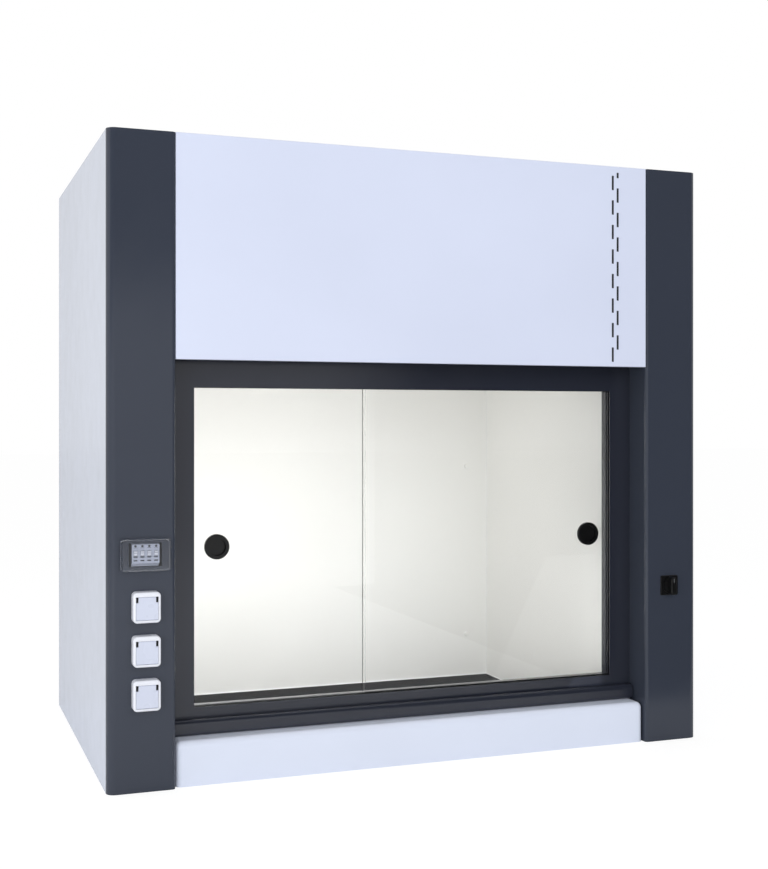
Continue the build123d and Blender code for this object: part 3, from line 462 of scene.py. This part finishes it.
def bar(mesh, low, high, edge=0.0):
    """A box between two corners, with its edges rounded off."""
    middle = Matrix.Translation((Vector(low) + Vector(high)) / 2)
    size = Matrix.Diagonal((*(Vector(high) - Vector(low)), 1))
    made = bmesh.ops.create_cube(mesh, size=1.0, matrix=middle @ size)
    if edge:
        sides = list({side for vert in made["verts"] for side in vert.link_edges})
        bmesh.ops.bevel(mesh, geom=sides, offset=edge, segments=2, profile=0.5,
                        affect="EDGES", material=-1)


fascia_paint_painted_light = surface("fascia_paint_painted_light", screen(*fascia_colour_painted_light), gloss=panel_gloss)
dress(fascia_paint_painted_light, "fascia")
dashes = bmesh.new()
for column, middle in enumerate(dash_columns):
    low = dash_foot + column * dash_step / 2
    while low < dash_top - dash_width:
        high = min(low + dash_length, dash_top)
        bar(dashes, (middle - dash_width / 2, front_plane - dash_print, low),
            (middle + dash_width / 2, front_plane + dash_print, high))
        low += dash_step
print_ink = surface("print_ink", screen(34, 36, 42), gloss=0.4, depth=0.00001)
piece(dashes, "fascia_dashes", print_ink, "root")

# Sill: a folded ledge with rounded front and ends, in the fascia's paint lightened by painted
# light.
# It sits on the bench and laps over the front of the work surface.
sill_colour_painted_light = (229, 235, 251)

sill_paint_painted_light = surface("sill_paint_painted_light", screen(*sill_colour_painted_light), gloss=panel_gloss)
dress(sill_paint_painted_light, "sill")

# Frame: base pan and C-shaped uprights of galvanised sheet, with the bright zinc flower on it.
# The uprights carry the sash rails, the pulleys and the front of the cabinet.
zinc_colour = (172, 176, 181)
zinc_gloss = 0.38
zinc_flower = 70.0
zinc_grain = 400.0


def galvanised_sheet():
    """Hot-dip zinc: flat crystals, each with its own shade and gloss."""
    material, out = new_material("galvanised")
    tree = material.node_tree
    body = tree.nodes.new("ShaderNodeBsdfPrincipled")
    body.inputs["Metallic"].default_value = 0.85
    where = tree.nodes.new("ShaderNodeTexCoord")
    crystals = tree.nodes.new("ShaderNodeTexVoronoi")
    crystals.inputs["Scale"].default_value = zinc_flower
    tree.links.new(where.outputs["Object"], crystals.inputs["Vector"])
    grey = tree.nodes.new("ShaderNodeRGBToBW")
    tree.links.new(crystals.outputs["Color"], grey.inputs["Color"])
    tone = screen(*zinc_colour)
    shade = shades(tree, grey, tinted(tone, 0.86), tinted(tone, 1.08), low=0.1, high=0.9)
    link(tree, shade, body.inputs["Base Color"])
    polish = spread(tree, grey, zinc_gloss - 0.06, zinc_gloss + 0.08)
    link(tree, polish, body.inputs["Roughness"])
    link(tree, bump(tree, noise(tree, zinc_grain), 0.00002), body.inputs["Normal"])
    link(tree, body, out.inputs["Surface"])
    return material


galvanised = galvanised_sheet()
dress(galvanised, "base_pan", "left_upright", "right_upright")

# Work surface: a 12 mm slab of black phenolic resin, matt, with fine lighter flecks.
# It lies loose on the base pan between the liners.
slab_colour = (9, 9, 10)
fleck_colour = (34, 34, 36)
fleck_scale = 900.0
ripple_scale = 60.0


def phenolic():
    """Matt black resin with sparse flecks and a slight ripple."""
    material, out = new_material("worktop_black")
    tree = material.node_tree
    body = tree.nodes.new("ShaderNodeBsdfPrincipled")
    body.inputs["Specular IOR Level"].default_value = 0.0
    flecks = noise(tree, fleck_scale, 1.0)
    shade = shades(tree, flecks, screen(*slab_colour), screen(*fleck_colour), low=0.62, high=0.75)
    link(tree, shade, body.inputs["Base Color"])
    link(tree, bump(tree, noise(tree, ripple_scale), 0.00004), body.inputs["Normal"])
    link(tree, body, out.inputs["Surface"])
    return material


dress(phenolic(), "worktop")

# Chamber: side liners, ceiling and header of white resin-faced sheet, and a baffle at the back.
# Joints are closed with white silicone. Capped screws hold the baffle to its stand-offs.
liner_colour = (243, 242, 239)
liner_gloss = 0.34
chamber_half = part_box("right_liner")[0].x
bead_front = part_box("worktop")[0].y + 0.003
baffle_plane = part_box("baffle")[0].y
baffle_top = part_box("baffle")[1].z
header_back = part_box("front_header")[1].y
ceiling_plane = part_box("ceiling_liner")[0].z
slab_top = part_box("worktop")[1].z
silicone = 0.0035
cove_far = 0.45
cove_near = 0.12
cap_sides = 0.48
cap_heights = (0.15, 0.675, 1.2)
cap_outline = ((0.0075, 0), (0.0075, 0.001), (0.0066, 0.0026), (0.0035, 0.0034), (0, 0.0036))

liner_white = surface("liner_white", screen(*liner_colour), gloss=liner_gloss, drift=0.01)
dress(liner_white, "left_liner", "right_liner", "baffle", "ceiling_liner", "front_header")


def cove(mesh, start, end, first, second):
    """A bead in an inside corner, hollow faced, from start to end along the corner."""
    start, end = Vector(start), Vector(end)
    first, second = Vector(first) * silicone, Vector(second) * silicone
    outline = [first, first * cove_far + second * cove_near,
               first * cove_near + second * cove_far, second, Vector((0, 0, 0))]
    face = mesh.faces.new([mesh.verts.new(start + offset) for offset in outline])
    made = bmesh.ops.extrude_face_region(mesh, geom=[face])
    moved = [item for item in made["geom"] if isinstance(item, bmesh.types.BMVert)]
    bmesh.ops.translate(mesh, vec=end - start, verts=moved)


beads = bmesh.new()
for sign in (-1, 1):
    wall = sign * chamber_half
    inward = (-sign, 0, 0)
    cove(beads, (wall, bead_front, slab_top), (wall, baffle_plane, slab_top), inward, (0, 0, 1))
    cove(beads, (wall, baffle_plane, slab_top), (wall, baffle_plane, baffle_top), inward,
         (0, -1, 0))
    cove(beads, (wall, header_back, ceiling_plane), (wall, baffle_plane, ceiling_plane), inward,
         (0, 0, -1))
cove(beads, (-chamber_half, baffle_plane, slab_top), (chamber_half, baffle_plane, slab_top),
     (0, -1, 0), (0, 0, 1))
cove(beads, (-chamber_half, header_back, ceiling_plane), (chamber_half, header_back, ceiling_plane),
     (0, 1, 0), (0, 0, -1))
silicone_white = surface("silicone_white", screen(240, 240, 238), gloss=0.3, drift=0.01,
                         grain=120.0, depth=0.0001)
piece(beads, "chamber_beads", silicone_white, "root")

cap_places = [(x, baffle_plane, z) for x in (-cap_sides, cap_sides) for z in cap_heights]
caps = bmesh.new()
strew(caps, turned(cap_outline), cap_places, facing=(0, -1, 0))
piece(caps, "baffle_caps", liner_white, "root")

# Baffle stand-offs: round spacers turned from white acetal.
# They keep the baffle clear of the rear panel, so that air is drawn up behind it.
acetal = surface("acetal", screen(226, 226, 220), gloss=0.36, drift=0.02, drift_scale=40.0,
                 grain=300.0, depth=0.00004)
dress(acetal, "baffle_standoffs")

# Lamp: a folded white housing over the ceiling with two fluorescent tubes and a frosted cover.
# The tubes end in metal caps, and are lit.
tube_colour = (250, 250, 246)
tube_glow = 1.6
tubes = middle_of("lamp_tubes")
tube_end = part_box("lamp_tubes")[1].x
tube_radius = 0.008
tube_spread = 0.02
cap_wall = 0.0004
cap_length = 0.0115
cap_round = 0.001
lamp_gap = 0.002
lamp_power = 0.3

lamp_paint = surface("lamp_paint", screen(238, 238, 236), gloss=0.3, drift=0.01)
dress(lamp_paint, "lamp_housing")


def lit_tube():
    """Coated glass that shines evenly."""
    material, out = new_material("lit_tube")
    tree = material.node_tree
    body = tree.nodes.new("ShaderNodeBsdfPrincipled")
    body.inputs["Base Color"].default_value = screen(*tube_colour)
    body.inputs["Roughness"].default_value = 0.12
    body.inputs["Emission Color"].default_value = screen(*tube_colour)
    body.inputs["Emission Strength"].default_value = tube_glow
    link(tree, body, out.inputs["Surface"])
    return material


dress(lit_tube(), "lamp_tubes")
cap_radius = tube_radius + cap_wall
tube_cap_outline = ((cap_radius, 0), (cap_radius, cap_length),
                    (cap_radius - cap_round, cap_length + cap_round))
tube_caps = bmesh.new()
for sign in (-1, 1):
    ends = [(sign * tube_end, tubes.y + side * tube_spread, tubes.z) for side in (-1, 1)]
    strew(tube_caps, turned(tube_cap_outline, steps=28), ends, facing=(-sign, 0, 0))
cap_alloy = surface("cap_alloy", screen(196, 198, 202), gloss=0.28, metal=1.0, drift=0.03,
                    depth=0.00001)
piece(tube_caps, "lamp_tube_caps", cap_alloy, "root")
lamp("hood_lamp", place=(0, tubes.y, ceiling_plane - lamp_gap), aim=(0, tubes.y, 0),
     width=0.56, height=0.09, power=lamp_power)


def clear(name, tint, roughness=0.0):
    """Clear glass or plastic that lets lamp light through to what is behind it."""
    material, out = new_material(name)
    tree = material.node_tree
    body = tree.nodes.new("ShaderNodeBsdfPrincipled")
    body.inputs["Base Color"].default_value = tint
    body.inputs["Roughness"].default_value = roughness
    body.inputs["IOR"].default_value = 1.5
    body.inputs["Transmission Weight"].default_value = 1.0
    gap = tree.nodes.new("ShaderNodeBsdfTransparent")
    gap.inputs["Color"].default_value = tint
    ray = tree.nodes.new("ShaderNodeLightPath")
    either = tree.nodes.new("ShaderNodeMath")
    either.operation = "MAXIMUM"
    tree.links.new(ray.outputs["Is Shadow Ray"], either.inputs[0])
    tree.links.new(ray.outputs["Is Diffuse Ray"], either.inputs[1])
    choice = tree.nodes.new("ShaderNodeMixShader")
    link(tree, either, choice.inputs["Fac"])
    link(tree, body, choice.inputs[1])
    link(tree, gap, choice.inputs[2])
    link(tree, choice, out.inputs["Surface"])
    return material


dress(clear("lamp_cover", (0.98, 0.98, 0.98, 1), roughness=0.15), "lamp_diffuser")

# Cable gland: a black nylon gland in the rear panel, with its dome ribbed for grip.
# Its bore is empty, since the photograph shows no cord.
gland = middle_of("cable_gland")
gland_place = (gland.x, back_plane + 0.0065, gland.z)
rib_count = 12
rib_low = (0.0106, -0.0008, 0)
rib_high = (0.0118, 0.0008, 0.0105)
rib_edge = 0.0003

nylon_black = surface("nylon_black", screen(26, 26, 28), gloss=0.38, drift=0.06,
                      drift_scale=30.0, grain=260.0, depth=0.00006)
dress(nylon_black, "cable_gland")
gland_ribs = bmesh.new()
for i in range(rib_count):
    rib = bmesh.new()
    bar(rib, rib_low, rib_high, rib_edge)
    turn = Matrix.Rotation(math.radians(360 / rib_count * i), 3, "Z")
    bmesh.ops.rotate(rib, cent=(0, 0, 0), matrix=turn, verts=rib.verts)
    strew(gland_ribs, rib, [gland_place], facing=(0, 1, 0))
piece(gland_ribs, "gland_ribs", nylon_black, "root")

# Sash rails and glides: extruded U channels, black anodised, screwed to the uprights.
# Four white acetal glides on the stiles run in them.
anodised = surface("anodised", screen(38, 39, 43), gloss=0.36, metal=0.6, drift=0.04,
                   grain=500.0, depth=0.00002, stretch=(1, 1, 0.06))
dress(anodised, "sash_guide_rails")
dress(acetal, "sash_glides")

# Counterbalance: on each side a black belt loop over two flanged acetal pulleys on steel studs.
# Steel clamps tie it to the sash, and a primed steel bar hangs on its rear strand.
tooth_pitch = 0.005
tooth_depth = 0.0006
band_length = 0.314  # of the wave pattern at scale 1
small_screw = 0.0028
screw_rises = (0.008, 0.032)
clamp_side = 0.6165
clamp_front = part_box("sash_belt_clamps")[0].y - 0.0003
clamp_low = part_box("sash_belt_clamps")[0].z
lug_side = 0.604
lug_back = -0.3122
lug_low = 1.1


def toothed_rubber():
    """Black polyurethane belt, ribbed across its length."""
    material, out = new_material("belt_rubber")
    tree = material.node_tree
    body = tree.nodes.new("ShaderNodeBsdfPrincipled")
    shade = shades(tree, noise(tree, 60.0), screen(20, 20, 21), screen(31, 31, 32))
    link(tree, shade, body.inputs["Base Color"])
    body.inputs["Roughness"].default_value = 0.55
    where = tree.nodes.new("ShaderNodeTexCoord")
    ribs = tree.nodes.new("ShaderNodeTexWave")
    ribs.wave_type = "BANDS"
    ribs.bands_direction = "Z"
    ribs.inputs["Scale"].default_value = band_length / tooth_pitch
    tree.links.new(where.outputs["Object"], ribs.inputs["Vector"])
    link(tree, bump(tree, ribs, tooth_depth), body.inputs["Normal"])
    link(tree, body, out.inputs["Surface"])
    return material


dress(toothed_rubber(), "sash_belts")
dress(acetal, "left_lower_pulley", "right_lower_pulley", "left_upper_pulley",
      "right_upper_pulley")
turned_steel = surface("turned_steel", screen(168, 170, 174), gloss=0.26, metal=1.0, drift=0.03,
                       grain=600.0, depth=0.00001, stretch=(8, 1, 1))
dress(turned_steel, "pulley_axles", "sash_belt_clamps")
primed_steel = surface("primed_steel", screen(92, 95, 98), gloss=0.5, drift=0.08,
                       drift_scale=9.0, grain=220.0, depth=0.00012)
dress(primed_steel, "left_counterweight", "right_counterweight")

clamp_places = [(sign * clamp_side, clamp_front, clamp_low + rise)
                for sign in (-1, 1) for rise in screw_rises]
clamp_screws = bmesh.new()
strew(clamp_screws, button_screw(small_screw), clamp_places, facing=(0, -1, 0))
piece(clamp_screws, "clamp_screws", screw_steel, "sash")
for sign, body in ((-1, "left_weight"), (1, "right_weight")):
    lug_places = [(sign * lug_side, lug_back, lug_low + rise) for rise in screw_rises]
    lug_screws = bmesh.new()
    strew(lug_screws, button_screw(small_screw), lug_places, facing=(0, 1, 0))
    piece(lug_screws, body + "_screws", screw_steel, body)

# Sash frame: hollow aluminium extrusions, powder coated like the pillars but darker.
# The rails are screwed between the stiles, and the grip bar is fixed along the bottom one.
sash_colour = (41, 44, 55)

sash_dark = surface("sash_dark", screen(*sash_colour), gloss=0.2, shine=0.75)
dress(sash_dark, "left_stile", "right_stile", "sash_bottom_rail", "sash_top_rail", "sash_grip")

# Glass: two panes of clear 6 mm toughened glass with ground edges.
# They slide in the grooves of the sash, between thin black brush seals.
window_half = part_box("right_stile")[0].x
window_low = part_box("sash_bottom_rail")[1].z
window_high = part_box("sash_top_rail")[0].z
groove_play = 0.0005
brush_height = 0.003
brush_proud = 0.0006
brush_depth = 0.0004
brush_gap = 0.00002

dress(clear("glass", (0.985, 0.99, 0.985, 1)), "left_glass", "right_glass")
brushes = bmesh.new()
for pane in ("left_glass", "right_glass"):
    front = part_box(pane)[0].y - groove_play
    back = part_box(pane)[1].y + groove_play
    for near, far in ((front + brush_gap, front + brush_depth),
                      (back - brush_depth, back - brush_gap)):
        bar(brushes, (-window_half, near, window_low - brush_height),
            (window_half, far, window_low + brush_proud))
        bar(brushes, (-window_half, near, window_high - brush_proud),
            (window_half, far, window_high + brush_height))
        for sign in (-1, 1):
            inner = sign * (window_half - brush_proud)
            outer = sign * (window_half + brush_height)
            bar(brushes, (min(inner, outer), near, window_low + brush_proud),
                (max(inner, outer), far, window_high - brush_proud))
brush_black = surface("brush_black", screen(14, 14, 15), gloss=0.7, grain=900.0, depth=0.0002)
piece(brushes, "sash_brushes", brush_black, "sash")

# Finger pulls: round cups moulded in black nylon, clipped into holes in the panes.
# A fingertip in the cup slides the pane.
pull_black = surface("pull_black", screen(16, 16, 17), gloss=0.34, drift=0.06,
                     drift_scale=30.0, grain=420.0, depth=0.00005)
dress(pull_black, "left_pull", "right_pull")

# Breaker box: a bezel in the colour of the pillar, and four grey breakers with light toggles.
# They snap onto a galvanised rail behind it. A smoked cover hinges over them along its top.
breaker_pitch = 0.015
breakers_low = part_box("breaker_modules")[0]
breaker_middle = middle_of("breaker_modules").x
mark_sunk = 0.0002
slit_half = 0.0042
slit_heights = ((0.012, 0.0147), (0.041, 0.0417))
terminal_height = 0.045
terminal_outline = ((0.0026, 0), (0.0026, 0.0002), (0.0018, 0.0002), (0.0018, 0.0001),
                    (0, 0.0001))

dress(pillar_paint, "breaker_housing")
dress(galvanised, "din_rail")
breaker_grey = surface("breaker_grey", screen(186, 190, 204), gloss=0.4, drift=0.02,
                       drift_scale=60.0, grain=500.0, depth=0.00005)
dress(breaker_grey, "breaker_modules")
toggle_grey = surface("toggle_grey", screen(228, 229, 236), gloss=0.38, depth=0.00004)
dress(toggle_grey, *["breaker_toggle_" + str(i + 1) for i in range(4)])
dress(clear("smoked", (0.9, 0.91, 0.93, 1), roughness=0.04), "breaker_door")


def mark(mesh, middle, half, plane, low, high, proud=0.0001):
    """A thin upright mark on a front face, a hair proud of it."""
    bar(mesh, (middle - half, plane - proud, low), (middle + half, plane + mark_sunk, high))


# Slits and terminal holes: flat dark marks on the breaker fronts, painted shade of the slots and
# screw holes.
slits = bmesh.new()
terminals = bmesh.new()
for i in range(4):
    middle = breaker_middle + (i - 1.5) * breaker_pitch
    for low, high in slit_heights:
        mark(slits, middle, slit_half, breakers_low.y, breakers_low.z + low, breakers_low.z + high)
    strew(terminals, turned(terminal_outline, steps=20),
          [(middle, breakers_low.y, breakers_low.z + terminal_height)], facing=(0, -1, 0))
painted_slot_shade = surface("painted_slot_shade", screen(38, 38, 44), gloss=0.5, depth=0.00001)
piece(slits, "breaker_slit_shade", painted_slot_shade, "root")
piece(terminals, "breaker_terminal_hole_shade", painted_slot_shade, "root")

# Sockets: white moulded housings on the pillar, each with a dark insert and a sprung lid.
# The lid turns on a steel pin at its top. Each insert has two brass contact sleeves.
socket_lids = ("socket_lid_1", "socket_lid_2", "socket_lid_3")
socket_middle = middle_of("socket_housings").x
contact_rise = 0.023
contact_spread = 0.0095
well_floor = -0.4833
sleeve_proud = 0.0004
sleeve_outline = ((0.0023, 0), (0.0023, 0.0006), (0.0018, 0.0006), (0.0018, -0.009),
                  (0.0023, -0.009))

socket_white = surface("socket_white", screen(238, 240, 248), gloss=0.28, drift=0.01,
                       depth=0.00002)
dress(socket_white, "socket_housings")
lid_white = surface("lid_white", screen(214, 219, 236), gloss=0.28, drift=0.01, depth=0.00002)
dress(lid_white, *socket_lids)
socket_black = surface("socket_black", screen(20, 20, 22), gloss=0.4, depth=0.00005)
dress(socket_black, "socket_inserts")
dress(turned_steel, "socket_lid_pins")

sleeve_places = [(socket_middle + sign * contact_spread, well_floor + sleeve_proud,
                  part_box(lid)[0].z + contact_rise) for lid in socket_lids for sign in (-1, 1)]
contacts = bmesh.new()
strew(contacts, turned(sleeve_outline, steps=20), sleeve_places, facing=(0, -1, 0))
brass = surface("brass", screen(196, 164, 96), gloss=0.3, metal=1.0, drift=0.03, depth=0.00001)
piece(contacts, "socket_contacts", brass, "root")

# Cam switch: a black moulded plate and knob on the right pillar, with its contacts behind.
# A bar at the top of the plate and a ring at its right mark the two places of the pointer.
switch = middle_of("switch_plate")
plate_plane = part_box("switch_plate")[0].y
knob_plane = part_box("switch_knob")[0].y
on_half = 0.0003
on_low = 0.0205
on_high = 0.0225
off_right = 0.0215
off_outline = ((0.0008, 0), (0.0008, 0.0002), (0.0012, 0.0002), (0.0012, 0))
pointer_half = 0.0005
pointer_low = 0.009
pointer_high = 0.0185
pointer_proud = 0.00008

switch_black = surface("switch_black", screen(15, 15, 16), gloss=0.36, drift=0.04,
                       grain=420.0, depth=0.00005)
dress(switch_black, "switch_plate", "switch_knob")
dress(nylon_black, "switch_body")
mark_white = surface("mark_white", screen(150, 152, 156), gloss=0.5, depth=0.00001)
marks = bmesh.new()
mark(marks, switch.x, on_half, plate_plane, switch.z + on_low, switch.z + on_high)
strew(marks, turned(off_outline), [(switch.x + off_right, plate_plane, switch.z)],
      facing=(0, -1, 0))
piece(marks, "switch_marks", mark_white, "root")
pointer = bmesh.new()
mark(pointer, switch.x, pointer_half, knob_plane, switch.z + pointer_low,
     switch.z + pointer_high, proud=pointer_proud)
piece(pointer, "knob_pointer", mark_white, "cam_switch")
